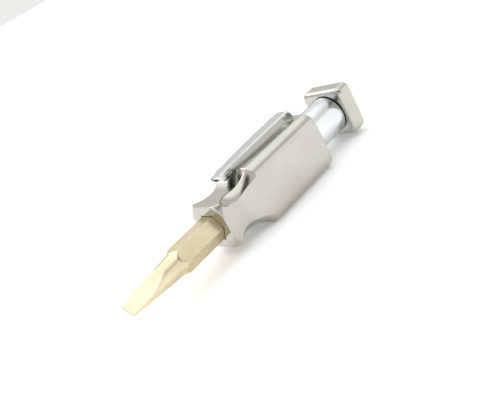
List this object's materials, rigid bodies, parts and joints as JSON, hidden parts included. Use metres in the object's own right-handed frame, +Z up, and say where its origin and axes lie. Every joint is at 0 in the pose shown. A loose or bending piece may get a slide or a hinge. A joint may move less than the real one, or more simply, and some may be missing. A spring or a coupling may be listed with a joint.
{
  "type": "pocket bit screwdriver with swivelling cap",
  "caption": "Small pocket screwdriver with a square plated grip, slotted hex bit, spring clip, pull-out bit tube and a swivelling square end cap.",
  "frame": {"origin": "middle of the flat underside of the square grip, opposite the clip", "axes": "+X along the tool from the blade towards the cap; +Z up through the clip; the tool axis runs 7.9 mm above the origin"},
  "size_m": [0.0834, 0.0158, 0.0179],
  "materials": {
    "plated_grip": "satin nickel-chrome plate on die-cast zinc, softly polished edges",
    "clip_steel": "polished stamped spring steel, nickel plated",
    "bit_steel": "machined tool steel with a warm nickel plate, satin",
    "tube_metal": "drawn tube, fine satin",
    "bush_metal": "turned and plated",
    "plug_metal": "turned, as machined",
    "screw_steel": "zinc-plated steel",
    "spring_steel": "blued spring steel, waved washer",
    "magnet_plate": "nickel-plated sintered magnet",
    "black_rubber": "moulded nitrile",
    "black_plastic": "moulded acetal",
    "pale_plastic": "natural acetal"
  },
  "bodies": {
    "grip": {"body": "plated_grip", "socket_magnet": "magnet_plate", "guide_bush": "bush_metal"},
    "bit": {"slotted_bit": "bit_steel"},
    "spring_clip": {"clip": "clip_steel"},
    "bit_store": {"tube": "tube_metal", "tube_plug": "plug_metal", "friction_ring": "black_rubber", "bit_sleeve": "black_plastic", "thrust_washer": "pale_plastic", "swivel_screw": "screw_steel", "spring_washer": "spring_steel"},
    "spare": {"spare_bit": "bit_steel"},
    "swivel_cap": {"cap": "plated_grip", "cover_disc": "plated_grip"}
  },
  "joints": [
    {"name": "bit_pull", "type": "slide", "parent": "grip", "child": "bit", "axis": [-1, 0, 0], "range_m": [0, 0.0095]},
    {"name": "clip_flex", "type": "hinge", "parent": "grip", "child": "spring_clip", "pos_m": [0.0118, 0, 0.0146], "axis": [0, 1, 0], "range_deg": [0, 3], "stiffness_Nm_per_rad": 2.8},
    {"name": "tube_slide", "type": "slide", "parent": "grip", "child": "bit_store", "axis": [1, 0, 0], "range_m": [-0.0123, 0.01]},
    {"name": "spare_bit_pull", "type": "slide", "parent": "bit_store", "child": "spare", "axis": [-1, 0, 0], "range_m": [0, 0.012]},
    {"name": "cap_swivel", "type": "hinge", "parent": "bit_store", "child": "swivel_cap", "pos_m": [0.0275, 0, 0.0079], "axis": [1, 0, 0], "continuous": true}
  ]
}
